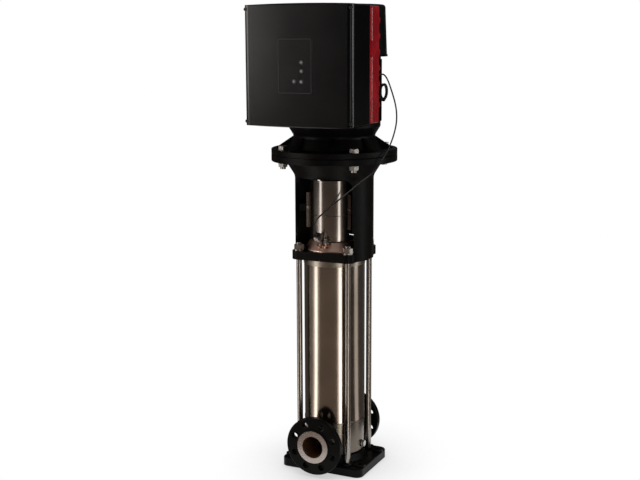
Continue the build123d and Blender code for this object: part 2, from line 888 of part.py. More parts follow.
def make_guard_screws():
    at_tab = Pos(guard_screw_reach, -guard_sheet, guard_screw_z)
    shank = Rot(-90, 0, 0) * Cylinder(guard_screw_radius - bearing_gap, guard_lug_width, align=AT_BOTTOM)
    head = Rot(90, 0, 0) * Cylinder(guard_screw_head, guard_screw_head / 2, align=AT_BOTTOM)
    return group(at_guard_edges(at_tab * (shank + head)))


# Shaft coupling: two clamp halves round both shaft ends, with their screws
coupling_middle = pump_shaft_top + shaft_end_gap / 2


def make_coupling_halves():
    low = coupling_middle - coupling_length / 2
    body = tube(coupling_radius, pump_shaft_radius, low, coupling_middle)
    body += tube(coupling_radius, motor_shaft_radius, coupling_middle, low + coupling_length)
    body = chamfer(body.edges().group_by(Axis.Z)[-1].sort_by(Edge.length)[-1], 2.0)
    body -= Pos(0, 0, low) * Box(2.2 * coupling_radius, coupling_split, coupling_length, align=AT_BOTTOM)
    for x, z in coupling_screw_places():
        body -= bar_y(coupling_screw_radius, x, z, coupling_radius, -coupling_radius)
    halves = body.solids()
    return group(halves)


def coupling_screw_places():
    """Four screws cross the split, two on each side of the shafts."""
    heights = (coupling_middle - coupling_screw_spacing, coupling_middle + coupling_screw_spacing)
    return [(side * coupling_screw_offset, z) for side in (-1, 1) for z in heights]


def make_coupling_screws():
    reach = sqrt(coupling_radius ** 2 - (coupling_screw_offset + coupling_screw_radius) ** 2)
    screws = []
    for x, z in coupling_screw_places():
        screw = bar_y(coupling_screw_radius - bearing_gap, x, z, reach, -reach)
        screws.append(screw)
    return group(screws)


# Drive-end shield: square-edged flange on the stool, gussets, neck and rim below the frame
def make_drive_end_shield():
    spigot = register_radius - bearing_gap
    flange_top = motor_face + motor_flange_thickness
    outside = lathe([
        (0, motor_face - register_depth),
        (spigot, motor_face - register_depth),
        (spigot, motor_face),
        (motor_flange_radius, motor_face),
        (motor_flange_radius, flange_top),
        (shield_foot_radius, flange_top),
        (shield_neck_radius, motor_face + shield_neck_height),
        (shield_rim_radius, motor_face + shield_rim_height),
        (shield_rim_radius, frame_bottom),
        (0, frame_bottom),
    ], {3: 2.0, 4: 2.0, 5: 6.0, 6: 10.0})
    gusset = Plane.XZ * outline([
        (shield_neck_radius - shield_wall / 2, flange_top - motor_flange_thickness / 2),
        (gusset_reach, flange_top - motor_flange_thickness / 2),
        (gusset_reach, flange_top),
        (shield_neck_radius, motor_face + shield_neck_height),
        (shield_neck_radius - shield_wall / 2, motor_face + shield_neck_height),
    ])
    gusset = Pos(0, gusset_thickness / 2, 0) * extrude(gusset, gusset_thickness)
    shield = outside
    for number in range(gusset_count):
        shield += Rot(0, 0, 360 * (number + 0.5) / gusset_count) * gusset
    shaft_hole = motor_shaft_radius + turning_gap
    pocket = motor_bearing_radius + bearing_gap
    pocket_top = lower_bearing_z + motor_bearing_height
    inside = lathe([
        (0, motor_face - register_depth),
        (shaft_hole, motor_face - register_depth),
        (shaft_hole, lower_bearing_z),
        (pocket, lower_bearing_z),
        (pocket, pocket_top),
        (shield_neck_radius - shield_wall, motor_face + shield_neck_height + shield_wall),
        (frame_root_radius - frame_wall, frame_bottom - shield_wall),
        (frame_root_radius - frame_wall, frame_bottom),
        (0, frame_bottom),
    ])
    shield -= inside
    for x, y in motor_bolt_places():
        shield -= Pos(x, y, motor_face) * Cylinder(
            motor_bolt_radius + seat_gap, motor_flange_thickness, align=AT_BOTTOM)
    return shield


# Motor bolts from above, with nuts under the stool's plate
def make_motor_bolts():
    flange_top = motor_face + motor_flange_thickness
    tip = motor_face - stool_plate_thickness - motor_nut_height - bolt_stand_out
    bolt = rod(motor_bolt_radius - bearing_gap, tip, flange_top)
    bolt += Pos(0, 0, flange_top) * nut(nut_flats, motor_bolt_head, 0.01)
    return group(Pos(x, y, 0) * bolt for x, y in motor_bolt_places())


def make_motor_nuts():
    one = nut(nut_flats, motor_nut_height, motor_bolt_radius)
    low = motor_face - stool_plate_thickness
    return group(Pos(x, y, low) * Rot(180, 0, 0) * one for x, y in motor_bolt_places())


# Motor housing: finned tube between the two shields
def make_motor_housing():
    section = Circle(frame_root_radius)
    for number in range(fin_count):
        turn = 360 * (number + 0.5) / fin_count
        section += Rot(0, 0, turn) * Pos((frame_root_radius + fin_radius) / 2, 0) * Rectangle(
            fin_radius - frame_root_radius + frame_wall, fin_thickness)
    section &= Circle(fin_radius)
    section -= Circle(frame_root_radius - frame_wall)
    return Pos(0, 0, frame_bottom) * extrude(section, frame_length)


# Fan-end shield: disc with a bearing hub and lugs that carry the fan cover
def make_fan_end_shield():
    pocket = motor_bearing_radius + bearing_gap
    hub = motor_bearing_radius + shield_wall
    shield = lathe([
        (0, upper_bearing_z),
        (hub, upper_bearing_z),
        (hub, frame_top - shield_wall / 2),
        (frame_root_radius - frame_wall - bearing_gap, frame_top - shield_wall / 2),
        (frame_root_radius - frame_wall - bearing_gap, frame_top),
        (shield_rim_radius, frame_top),
        (shield_rim_radius, shield_top),
        (hub, shield_top),
        (hub, shield_top + end_shield_hub / 2),
        (0, shield_top + end_shield_hub / 2),
    ], {5: 2.0, 6: 4.0})
    lug_length = cover_skirt_radius - cover_sheet - seat_gap - shield_rim_radius + shield_wall
    lug = Pos(shield_rim_radius - shield_wall, 0, shield_top - end_shield_thickness / 2) * Box(
        lug_length, cover_lug_width, end_shield_thickness / 2, align=(Align.MIN, Align.CENTER, Align.MIN))
    for number in range(4):
        shield += Rot(0, 0, 90 * (number + 0.5)) * lug
    shield -= rod(pocket, upper_bearing_z, upper_bearing_z + motor_bearing_height)
    shield -= rod(motor_shaft_radius + turning_gap, upper_bearing_z, shield_top + end_shield_hub)
    return shield


# Two equal ball bearings, one in each shield
def make_motor_bearings():
    ring = tube(motor_bearing_radius, motor_journal_radius + bearing_gap, 0, motor_bearing_height)
    return group(Pos(0, 0, low) * ring for low in (lower_bearing_z, upper_bearing_z))


# Motor shaft with its journals, and the rotor core shrunk on it
def make_motor_shaft():
    low_end = pump_shaft_top + shaft_end_gap
    journal_top = upper_bearing_z + motor_bearing_height - bearing_gap
    return lathe([
        (0, low_end),
        (motor_shaft_radius, low_end),
        (motor_shaft_radius, lower_bearing_z + bearing_gap),
        (motor_journal_radius, lower_bearing_z + bearing_gap),
        (motor_journal_radius, journal_top),
        (motor_shaft_radius, journal_top),
        (motor_shaft_radius, fan_bottom + fan_blade_height),
        (0, fan_bottom + fan_blade_height),
    ])


def make_stator():
    low = rotor_middle - stator_height / 2
    return tube(frame_root_radius - frame_wall, stator_inner_radius, low, low + stator_height)


def make_rotor_core():
    low = rotor_middle - stator_height / 2
    return tube(stator_inner_radius - air_gap, motor_journal_radius, low, low + stator_height)


# Cooling fan on the shaft's upper end
def make_fan():
    fan = tube(fan_hub_radius, motor_shaft_radius, fan_bottom, fan_bottom + fan_blade_height)
    fan += tube(fan_radius, motor_shaft_radius, fan_bottom, fan_bottom + fan_disc_thickness)
    blade_low = fan_bottom + fan_disc_thickness / 2
    blade_high = fan_bottom + fan_blade_height
    blade = Pos(fan_hub_radius - fan_blade_thickness, 0, blade_low) * Box(
        fan_radius - fan_hub_radius, fan_blade_thickness, blade_high - blade_low,
        align=(Align.MIN, Align.CENTER, Align.MIN))
    for number in range(fan_blade_count):
        fan += Rot(0, 0, 360 * number / fan_blade_count) * blade
    return fan


# Fan cover: pressed skirt with a rolled lip and a slotted top
def make_fan_cover():
    lip_height = 3 * cover_lip
    outside = lathe([
        (0, skirt_bottom),
        (cover_skirt_radius + cover_lip, skirt_bottom),
        (cover_skirt_radius + cover_lip, skirt_bottom + lip_height),
        (cover_skirt_radius, skirt_bottom + lip_height),
        (cover_top_radius, cover_top),
        (0, cover_top),
    ], {4: cover_crown_round})
    inside = lathe([
        (0, skirt_bottom),
        (cover_skirt_radius - cover_sheet, skirt_bottom),
        (cover_skirt_radius - cover_sheet, skirt_bottom + lip_height),
        (cover_top_radius - cover_sheet, cover_top - cover_sheet),
        (0, cover_top - cover_sheet),
    ], {3: cover_crown_round - cover_sheet})
    cover = outside - inside
    length = grille_outer_radius - grille_inner_radius
    slot = Pos((grille_outer_radius + grille_inner_radius) / 2, 0, cover_top - 2 * cover_sheet) * extrude(
        SlotOverall(length, grille_slot_width), 3 * cover_sheet)
    for number in range(grille_slot_count):
        cover -= Rot(0, 0, 360 * number / grille_slot_count) * slot
    return cover


def box_face(inset):
    """Front outline of the control box, with bowed upper and lower edges, drawn in by the inset."""
    half = box_width / 2 - inset
    high = box_height / 2 - inset
    edges = [
        Line((-half, -high), (-half, high)),
        ThreePointArc((-half, high), (0, high + box_bow), (half, high)),
        Line((half, high), (half, -high)),
        ThreePointArc((half, -high), (0, -high - box_bow), (-half, -high)),
    ]
    return fillet(make_face(edges).vertices(), box_corner_radius)


def box_slab(inset, front, back):
    """Slab of the control box's outline between two depths in front of the axis."""
    return slab_y(box_face(inset), 0, box_middle_z, front, back)


def soft_front(inset, side_round, edge_round):
    """Body whose front edges are rounded, to trim the control box's cover with."""
    half = box_width / 2 - inset
    high = box_height / 2 + box_bow - inset
    front = box_front - inset
    plan = outline([(-half, 0), (half, 0), (half, -front), (-half, -front)], {2: side_round, 3: side_round})
    side = outline([(0, -high), (front, -high), (front, high), (0, high)], {1: edge_round, 2: edge_round})
    upright = Pos(0, 0, box_bottom - box_height / 2) * extrude(plan, 2 * box_height)
    across = Pos(box_width, 0, box_middle_z) * (Plane.left * extrude(side, 2 * box_width))
    return upright & across


def saddle_space():
    """Room for the round motor, wider beside the fan cover than beside the frame."""
    step = skirt_bottom - saddle_gap
    narrow = rod(slim_saddle, box_bottom - box_height, step)
    wide = rod(wide_saddle, step, box_bottom + 2 * box_height)
    return narrow + wide


def cover_screw_places():
    """The four corners of the control box's cover, as X and Z."""
    x = box_width / 2 - cover_screw_inset_x
    z = box_height / 2 - cover_screw_inset_z
    return [(i * x, box_middle_z + k * z) for i, k in CORNERS]


# Control box cover: deep moulded lid with rounded sides, screw pockets and a panel recess
def make_box_cover():
    skin = box_slab(0, box_front, box_rear) & soft_front(0, box_side_round, box_edge_round)
    hollow = box_slab(box_wall, box_front - box_wall, box_rear)
    hollow &= soft_front(box_wall, box_side_round - box_wall, 1.0)
    for x, z in cover_screw_places():
        hollow -= bar_y(cover_post_radius, x, z, box_front, box_rear)
    cover = skin - hollow
    cover -= saddle_space()
    for x, z in cover_screw_places():
        cover -= bar_y(cover_pocket_radius, x, z, box_front, box_front - cover_pocket_depth)
        cover -= bar_y(cover_screw_radius + bearing_gap, x, z, box_front, box_rear)
    recess_face = RectangleRounded(panel_width, panel_height, panel_corner_radius)
    floor = box_front + panel_stand - panel_thickness
    cover -= slab_y(recess_face, panel_centre_x, panel_centre_z, box_front, floor)
    for x, z in key_places.values():
        cover -= bar_y(key_radius + seat_gap, x, z, box_front, box_front - box_wall)
    return cover


def make_cover_screws():
    seat = box_front - cover_pocket_depth
    screws = []
    for x, z in cover_screw_places():
        screw = bar_y(cover_screw_radius, x, z, seat, box_rear - cover_screw_reach)
        screw += bar_y(cover_screw_head, x, z, seat + cover_screw_head, seat)
        socket = Pos(x, -(seat + cover_screw_head), z) * Rot(-90, 0, 0)
        screws.append(screw - socket * hexagon(cover_screw_head, cover_screw_head / 2))
    return group(screws)


# Heat sink: red saddle between the cover and the round motor, with ridges and lobes
def make_heat_sink():
    half = box_width / 2 - sink_inset
    sink = box_slab(sink_inset, box_rear, sink_rear)
    for side in (-1, 1):
        for height in lobe_heights:
            place = Pos(side * (half - lobe_width / 2), -sink_rear, box_bottom + height) * Rot(0, 90, 0)
            sink += place * Cylinder(lobe_radius, lobe_width)
        bead_z = box_bottom + sink_inset + bead_end
        bead_length = box_height - 2 * (sink_inset + bead_end)
        bead = Pos(side * (half + bead_stand - bead_radius), -(box_rear - bead_depth), bead_z)
        sink += bead * Cylinder(bead_radius, bead_length, align=AT_BOTTOM)
        block_height = side_block_high - side_block_low
        block = Pos(side * (half - bead_stand), -(box_rear - bead_depth), box_bottom + side_block_low)
        sink += block * Box(4 * bead_stand, side_block_width, block_height, align=AT_BOTTOM)
    plateau = wide_saddle + sink_plateau_wall
    sink += box_slab(sink_plateau_inset, plateau, box_rear)
    sink -= saddle_space()
    for x, z in cover_screw_places():
        sink -= bar_y(cover_screw_radius + bearing_gap, x, z, box_rear, box_rear - cover_screw_reach)
    for x, z in stand_off_places():
        sink += bar_y(stand_off_radius, x, z, plateau + board_stand_off, plateau)
    for height in gland_heights:
        sink -= bar_y(cable_diameter / 2 + seat_gap, gland_x, height, sink_rear + gland_length, sink_rear)
    return sink


def stand_off_places():
    """Corners of the power board."""
    reach = board_side / 2 - stand_off_radius
    return [(x * reach, box_middle_z + z * reach) for x, z in CORNERS]


# Power board with its row of capacitors
def make_power_board():
    back = wide_saddle + sink_plateau_wall + board_stand_off
    board = slab_y(Rectangle(board_side, board_side), 0, box_middle_z, back + board_thickness, back)
    pitch = board_side / (capacitor_count + 1)
    for number in range(capacitor_count):
        x = (number - (capacitor_count - 1) / 2) * pitch
        z = box_middle_z - board_side / 4
        board += bar_y(capacitor_radius, x, z, back + board_thickness + capacitor_length, back)
    return board


# Control panel: sunk plate with a raised rim, indicator ring and openings for the keys
def make_panel():
    front = box_front + panel_stand
    floor = front - panel_thickness
    width = panel_width - 2 * seat_gap
    height = panel_height - 2 * seat_gap
    face = RectangleRounded(width, height, panel_corner_radius)
    plate = slab_y(face, panel_centre_x, panel_centre_z, front, floor)
    field_corner = panel_corner_radius - panel_rim / 2
    inner = RectangleRounded(width - 2 * panel_rim, height - 2 * panel_rim, field_corner)
    plate -= slab_y(inner, panel_centre_x, panel_centre_z, front, front - panel_sunk)
    field = front - panel_sunk
    plate += bar_y(indicator_radius, indicator_x, indicator_z, front, field - panel_sunk)
    plate -= bar_y(indicator_radius - indicator_ring, indicator_x, indicator_z, front, field)
    for x, z in key_places.values():
        plate -= bar_y(key_radius + seat_gap, x, z, front, floor)
    return plate


def make_key(x, z):
    """Round key with a domed face; it runs in the panel and in the cover behind it."""
    front = box_front + panel_stand - panel_sunk + key_stand
    back = box_front - box_wall + key_travel
    key = bar_y(key_radius, x, z, front, back)
    return fillet(key.edges().group_by(Axis.Y)[0], key_dome)


# Cable glands: body, cap nut and bore for the lead
def make_glands():
    glands = []
    for height in gland_heights:
        end = sink_rear - gland_length
        seat = Pos(gland_x, -sink_rear, height) * Rot(-90, 0, 0)
        body = seat * (hexagon(gland_flats, gland_nut) + Pos(0, 0, gland_nut) * Cylinder(
            gland_flats / 2 - 1, gland_length - gland_nut, align=AT_BOTTOM))
        glands.append(chamfer(body.edges().group_by(Axis.Y)[-1], 1.0))
    return group(glands)


# Sensor cable: from its gland round the motor's flange, through the stool's window to the sensor
def cable_route():
    """Points chosen by hand; the first and the last lie on the gland and on the plug."""
    gland = Vector(gland_x, gland_length - sink_rear, gland_heights[0])
    plug = beyond_plug(0)
    return [
        gland,
        gland + Vector(0, 18, 0),
        (147.5, 3, 1117.5),
        (152, 15, 1104),
        (160.5, 15, 1083),
        (170, 12, 1060),
        (178.5, 8, 1037),
        (184, 4, 1012),
        (186.5, -5, 985.5),
        (184.5, -17, 959),
        (181, -31, 935),
        (177, -49, 914),
        (170, -71, 893),
        (158.5, -87, 869),
        (142, -83, 853),
        (124, -80, 841),
        (101, -79, 823),
        (80, -77, 806),
        (58, -76, 789),
        (38.5, -81, 771.5),
        (21.3, -91.5, 755),
        (6, -105, 739.5),
        (-4.5, -113.5, 725),
        beyond_plug(cable_straight),
        plug,
    ]


def cable_radii(route):
    """Largest arc at each corner that the two runs beside it allow."""
    points = [Vector(*point) if not isinstance(point, Vector) else point for point in route]
    radii = []
    for before, corner, after in zip(points, points[1:], points[2:]):
        run_in = corner - before
        run_out = after - corner
        turn = radians(run_in.get_angle(run_out))
        radii.append(cable_arc_share * min(run_in.length, run_out.length) / tan(turn / 2))
    return radii


def make_sensor_cable():
    route = cable_route()
    radii = cable_radii(route)
    print("cable radii", [round(radius, 1) for radius in radii])
    path = FilletPolyline(*route, radius=radii)
    section = Plane(origin=path @ 0, z_dir=path % 0) * Circle(cable_diameter / 2)
    cable = sweep(section, path=path)
    print("cable length", round(path.length, 1), "volume", round(cable.volume, 1))
    print("section times length", round(3.14159265 * (cable_diameter / 2) ** 2 * path.length, 1))
    return cable


# Tied loop of the spare lead, beside the motor
def make_lead_loop():
    middle_y = gland_length - sink_rear + loop_width / 2
    ring = SlotOverall(loop_width, loop_height) - SlotOverall(
        loop_width - 2 * loop_section, loop_height - 2 * loop_section)
    solid = extrude(ring, loop_section / 2, both=True)
    solid = fillet(solid.edges(), loop_section * 0.3)
    return Pos(gland_x, middle_y, loop_centre_z) * (Plane.YZ * solid)


def main():
    os.makedirs("parts", exist_ok=True)
    save(make_foot(), "foot_plate")
    save(make_base(), "pump_base")
    save(make_suction_guide(), "suction_guide")
    flange = make_loose_flange()
    save(flange, "inlet_flange")
    save(Rot(0, 0, 180) * flange, "outlet_flange")
    save(make_drain_plug(), "drain_plug")
    save(tube(sleeve_radius, sleeve_bore, base_top, sleeve_top), "outer_sleeve")
    save(make_o_rings(), "sleeve_o_rings")
    save(make_staybolts(), "staybolts")
    save(make_staybolt_nuts(), "staybolt_nuts")
    save(make_staybolt_washers(), "staybolt_washers")
    save(make_head(), "pump_head")
    save(make_vent_plug(), "vent_plug")
    save(make_sensor(), "pressure_sensor")
    save(make_connector(), "sensor_connector")
    save(make_seal_seat(), "seal_seat")
    save(make_seal_ring(), "seal_ring")
    for stage in range(stage_count):
        save(make_chamber(stage), f"chamber_{stage + 1}")
        save(make_impeller(stage), f"impeller_{stage + 1}")
    save(make_top_chamber(), "top_chamber")
    save(rod(pump_shaft_radius, stack_bottom - pump_shaft_tail, pump_shaft_top), "pump_shaft")
    save(make_stool(), "motor_stool")
    save(make_guard(0), "coupling_guard_front")
    save(make_guard(180), "coupling_guard_back")
    save(make_guard_screws(), "guard_screws")
    save(make_coupling_halves(), "coupling_halves")
    save(make_coupling_screws(), "coupling_screws")
    save(make_drive_end_shield(), "drive_end_shield")
    save(make_motor_bolts(), "motor_bolts")
    save(make_motor_nuts(), "motor_nuts")
    save(make_motor_housing(), "motor_housing")
    save(make_fan_end_shield(), "fan_end_shield")
    save(make_motor_bearings(), "motor_bearings")
    save(make_motor_shaft(), "motor_shaft")
    save(make_stator(), "stator")
    save(make_rotor_core(), "rotor_core")
    save(make_fan(), "cooling_fan")
    save(make_fan_cover(), "fan_cover")
    save(make_box_cover(), "box_cover")
    save(make_cover_screws(), "cover_screws")
    save(make_heat_sink(), "heat_sink")
    save(make_power_board(), "power_board")
    save(make_panel(), "control_panel")
    for node, (x, z) in key_places.items():
        save(make_key(x, z), node)
    save(make_glands(), "cable_glands")
    save(make_sensor_cable(), "sensor_cable")
    save(make_lead_loop(), "lead_loop")


main()
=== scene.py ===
# %% [markdown]
# A vertical multistage pump, dressed for its portrait.
#
# The real pump is a steel sleeve full of impellers with an electric motor on top and a control box
# on the motor's side. The CAD model already has every solid in its place, so this lesson adds what
# CAD leaves out: finishes, the free cable, a coiled lead and the small trim.
# The first step loads the imported model, which stays fixed.

# %% Load the fixed frame
import json
from math import cos, pi, radians, sin

import bpy
import numpy as np
from mathutils import Matrix, Vector


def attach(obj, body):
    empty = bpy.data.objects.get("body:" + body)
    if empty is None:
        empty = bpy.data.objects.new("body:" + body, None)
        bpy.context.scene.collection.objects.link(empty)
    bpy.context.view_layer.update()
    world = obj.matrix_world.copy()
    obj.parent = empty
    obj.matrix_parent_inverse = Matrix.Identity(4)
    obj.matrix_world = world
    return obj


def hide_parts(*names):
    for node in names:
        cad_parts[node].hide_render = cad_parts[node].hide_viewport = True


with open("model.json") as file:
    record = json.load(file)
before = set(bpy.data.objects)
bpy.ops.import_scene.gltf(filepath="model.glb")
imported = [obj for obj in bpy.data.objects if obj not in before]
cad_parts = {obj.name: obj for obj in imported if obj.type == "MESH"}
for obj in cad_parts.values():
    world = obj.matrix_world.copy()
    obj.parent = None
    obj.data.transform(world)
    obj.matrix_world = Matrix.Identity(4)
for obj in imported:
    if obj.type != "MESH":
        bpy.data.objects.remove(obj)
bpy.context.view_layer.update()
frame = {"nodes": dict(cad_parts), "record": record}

scene = bpy.context.scene
scene.view_settings.view_transform = "Standard"
nodes = frame["nodes"]

# %% [markdown]
# The camera stands to the right of the pump and a little over half its height, and looks slightly
# down. Its place was worked out from edges whose real places are known, such as the foot, the flange
# and the box, so a measured point of the model falls on its place in the picture.

# %% Camera
EYE = Vector((1.28394, -2.77453, 1.20990))
AHEAD = Vector((-0.425099, 0.887305, -0.178833))
UPWARD = Vector((-0.073516, 0.163074, 0.983871))
LENS_MM, SENSOR_MM = 61.947, 36.0


def add_camera():
    """A camera from three directions at right angles: right, up and back."""
    data = bpy.data.cameras.new("camera")
    data.lens, data.sensor_width = LENS_MM, SENSOR_MM
    camera = bpy.data.objects.new("camera", data)
    turn = Matrix((AHEAD.cross(UPWARD), UPWARD, -AHEAD)).transposed().to_4x4()
    camera.matrix_world = Matrix.Translation(EYE) @ turn
    scene.collection.objects.link(camera)
    scene.camera = camera


add_camera()
print("camera distance", round(EYE.xy.length, 3))

# %% [markdown]
# Shader maths reads best as plain arithmetic. A small class holds one socket and turns + - * / into
# Math nodes. A second class holds one material, and its node method adds any other kind of node.

# %% Sockets as numbers, materials as notebooks
class Field:
    """A number that varies over a surface: the output socket of some node."""

    def __init__(self, tree, socket):
        self.tree, self.socket = tree, socket

    def math(self, operation, *others, first=None):
        node = self.tree.nodes.new("ShaderNodeMath")
        node.operation = operation
        for slot, value in zip(node.inputs, ([self] if first is None else [first, self]) + list(others)):
            connect(self.tree, value, slot)
        return Field(self.tree, node.outputs[0])

    def __add__(self, other): return self.math("ADD", other)
    def __radd__(self, other): return self.math("ADD", other)
    def __sub__(self, other): return self.math("SUBTRACT", other)
    def __rsub__(self, other): return self.math("SUBTRACT", first=other)
    def __mul__(self, other): return self.math("MULTIPLY", other)
    def __rmul__(self, other): return self.math("MULTIPLY", other)
    def __pow__(self, other): return self.math("POWER", other)


def connect(tree, value, slot):
    """Links a Field to an input, or writes a plain value on it."""
    if isinstance(value, Field):
        tree.links.new(value.socket, slot)
    elif isinstance(value, (tuple, list)) and len(slot.default_value) == 4 and len(value) == 3:
        slot.default_value = (*value, 1.0)
    else:
        slot.default_value = value


class Finish:
    """One material. Its node method adds a node, sets it up, feeds it and gives its output."""

    def __init__(self, name):
        self.material = bpy.data.materials.new(name)
        self.material.use_nodes = True
        self.tree = self.material.node_tree
        self.shader = self.tree.nodes["Principled BSDF"]
        self.place = self.node("ShaderNodeTexCoord", output="Object")

    def node(self, kind, settings=None, inputs=None, output=0):
        made = self.tree.nodes.new(kind)
        for key, value in (settings or {}).items():
            setattr(made, key, value)
        for key, value in (inputs or {}).items():
            connect(self.tree, value, made.inputs[key])
        return Field(self.tree, made.outputs[output])

    def noise(self, scale, detail=3.0, stretch=(1, 1, 1), distortion=0.0):
        """Cloudy grey noise about 0.5, stretched by dividing its scale along an axis."""
        spot = self.node("ShaderNodeMapping", inputs={
            "Vector": self.place, "Scale": [1 / s for s in stretch]})
        return self.node("ShaderNodeTexNoise", inputs={
            "Vector": spot, "Scale": scale, "Detail": detail, "Distortion": distortion}, output="Fac")

    def between(self, field, low, high, at_low=0.0, at_high=1.0):
        """Field's stretch from low to high, mapped on at_low to at_high and held there."""
        return self.node("ShaderNodeMapRange", {"clamp": True}, {
            "Value": field, "From Min": low, "From Max": high, "To Min": at_low, "To Max": at_high})

    def blend(self, factor, first, second):
        """Colour between first and second; the Mix node takes its factor and colours by number."""
        return self.node("ShaderNodeMix", {"data_type": "RGBA"}, {0: factor, 6: first, 7: second}, output=2)

    def relief(self, height, distance, strength=1.0):
        """Normal bent by a height field, whose full swing is distance metres."""
        return self.node("ShaderNodeBump", inputs={
            "Height": height, "Distance": distance, "Strength": strength}, output="Normal")

    def axes(self):
        """The X, Y and Z of the place on the object, in metres, as three Fields."""
        split = self.node("ShaderNodeSeparateXYZ", inputs={"Vector": self.place}).socket.node
        return [Field(self.tree, split.outputs[axis]) for axis in "XYZ"]

    def painted(self, name):
        """The Field that already feeds an input of the shader."""
        return Field(self.tree, self.shader.inputs[name].links[0].from_socket)

    def paint(self, **sockets):
        """Feeds the shader; an underscore in a name stands for a blank."""
        for key, value in sockets.items():
            connect(self.tree, value, self.shader.inputs[key.replace("_", " ")])


print("helpers ready")

# %% [markdown]
# The pump stands on a photographer's table, a pale floor that runs into a white background. A plain
# matt floor would show its far edge and grow grey where the lamps don't reach. So the floor glows white
# where the eye or a mirror looks at it, but for the soft shade under the foot, and it stays matt for
# the light that it throws back on the pump.

# %% Floor and background
def add_object(name, mesh):
    made = bpy.data.objects.new(name, mesh)
    scene.collection.objects.link(made)
    return made


def seen_directly(tree):
    """1 where the eye, a mirror or clear glass looks, otherwise 0."""
    path = tree.nodes.new("ShaderNodeLightPath")
    names = ("Is Camera Ray", "Is Glossy Ray", "Is Transmission Ray")
    eye, mirror, glass = (Field(tree, path.outputs[name]) for name in names)
    return eye.math("MAXIMUM", mirror).math("MAXIMUM", glass)


def add_floor(half=30.0, level=-0.0006):
    """Pale floor. Looked at, it is white but for the soft shade where something stands close."""
    finish = Finish("pale_floor")
    shade = finish.node("ShaderNodeAmbientOcclusion", {"samples": 8}, {"Distance": 0.25}, output="AO")
    tone = finish.between(shade, 0.3, 1.0, 0.55, 1.0)
    glow = finish.node("ShaderNodeEmission", inputs={"Color": finish.blend(tone, (0, 0, 0), (1, 1, 1))})
    matt = finish.node("ShaderNodeBsdfDiffuse", inputs={"Color": (0.8, 0.8, 0.8)})
    both = finish.node("ShaderNodeMixShader", inputs={0: seen_directly(finish.tree), 1: matt, 2: glow})
    finish.tree.links.new(both.socket, finish.tree.nodes["Material Output"].inputs["Surface"])
    mesh = bpy.data.meshes.new("floor")
    mesh.from_pydata([(-half, -half, level), (half, -half, level), (half, half, level), (-half, half, level)],
                     [], [(0, 1, 2, 3)])
    mesh.materials.append(finish.material)
    add_object("floor", mesh)


def add_world(light=0.25):
    """White to look at, and a dimmer even light on surfaces."""
    world = bpy.data.worlds.new("studio")
    world.use_nodes = True
    scene.world = world
    tree = world.node_tree
    background = tree.nodes["Background"]
    background.inputs["Color"].default_value = (1, 1, 1, 1)
    connect(tree, seen_directly(tree) * (1.0 - light) + light, background.inputs["Strength"])


add_floor()
add_world()
print("floor and background ready")

# %% [markdown]
# Polished steel has no colour of its own to speak of; it shows its surroundings. A picture of a studio
# could be wrapped round the scene, but cards are easier to move one at a time: each is a band of even
# glow that only reflections see. The eye looks slightly down, so the low sleeve mirrors the floor, the
# guards mirror the foot of the walls, and the control box mirrors the walls at its own height. Each of
# the three gets its own row: dark cards for the stretches between the bars of light, and bright strips
# for the bars themselves.

# %% One glowing card
CARD_DISTANCE = 3.4
FLOOR_CARD_LIFT = 0.0005
NEAREST_FLOOR_CARD = 0.35
BOX_LEVEL, WINDOW_TOP, CEILING = 0.9, 2.2, 4.5


def add_strip(name, start, end, shade, edges, steps=24):
    """Evenly glowing card between two arcs; each edge is a distance from the axis and a height.

    Reflections alone see it; the eye, the shadows and the plain light pass it by."""
    turn = np.radians(np.linspace(start, end, steps + 1))
    ring = np.stack([np.sin(turn), -np.cos(turn)], 1)
    points = np.concatenate([np.column_stack([distance * ring, np.full(steps + 1, height)])
                             for distance, height in edges])
    first = np.arange(steps)
    faces = np.stack([first, first + 1, first + steps + 2, first + steps + 1], 1)
    mesh = bpy.data.meshes.new(name)
    mesh.from_pydata(points.tolist(), [], faces.tolist())
    finish = Finish(name)
    glow = finish.node("ShaderNodeEmission", inputs={"Color": shade})
    finish.tree.links.new(glow.socket, finish.tree.nodes["Material Output"].inputs["Surface"])
    mesh.materials.append(finish.material)
    card = add_object(name, mesh)
    card.visible_camera = card.visible_diffuse = card.visible_shadow = False
    card.visible_transmission = False


def add_card(name, start, end, shade, low, high, steps=24):
    """Curved wall on a ring of constant distance."""
    add_strip(name, start, end, shade, ((CARD_DISTANCE, low), (CARD_DISTANCE, high)), steps)


def add_flat_card(name, start, end, shade, inner=NEAREST_FLOOR_CARD, level=FLOOR_CARD_LIFT, steps=24):
    """Flat sector that lies just over the floor, or hangs as a ceiling."""
    add_strip(name, start, end, shade, ((inner, level), (CARD_DISTANCE, level)), steps)


print("cards stand", CARD_DISTANCE, "m from the axis")

# %% Three rows of cards
# Each card runs from one azimuth to another, in degrees, and has the colour of its glow. Azimuth 0 is
# in front of the box and 90 is to its right. A dim band and a ceiling close the set above them.
FLOOR_CARDS = {
    "left": (-158, -80, (0.075, 0.066, 0.057)),
    "left_soft": (-80, -64, (0.22, 0.20, 0.18)),
    "left_edge": (-64, -55, (0.7, 0.67, 0.62)),
    "left_streak": (-55, -42, (3.2, 3.05, 2.85)),
    "left_fade": (-42, -34, (0.45, 0.40, 0.36)),
    "front": (-34, 36, (0.165, 0.126, 0.098)),
    "front_edge": (36, 41, (1.2, 1.1, 1.0)),
    "front_streak": (41, 52, (3.8, 3.6, 3.35)),
    "right": (52, 104, (0.060, 0.050, 0.042)),
    "right_glow": (104, 122, (0.75, 0.70, 0.64)),
    "back_right": (122, 172, (0.075, 0.066, 0.06)),
    "back": (172, 202, (0.18, 0.165, 0.15)),
}
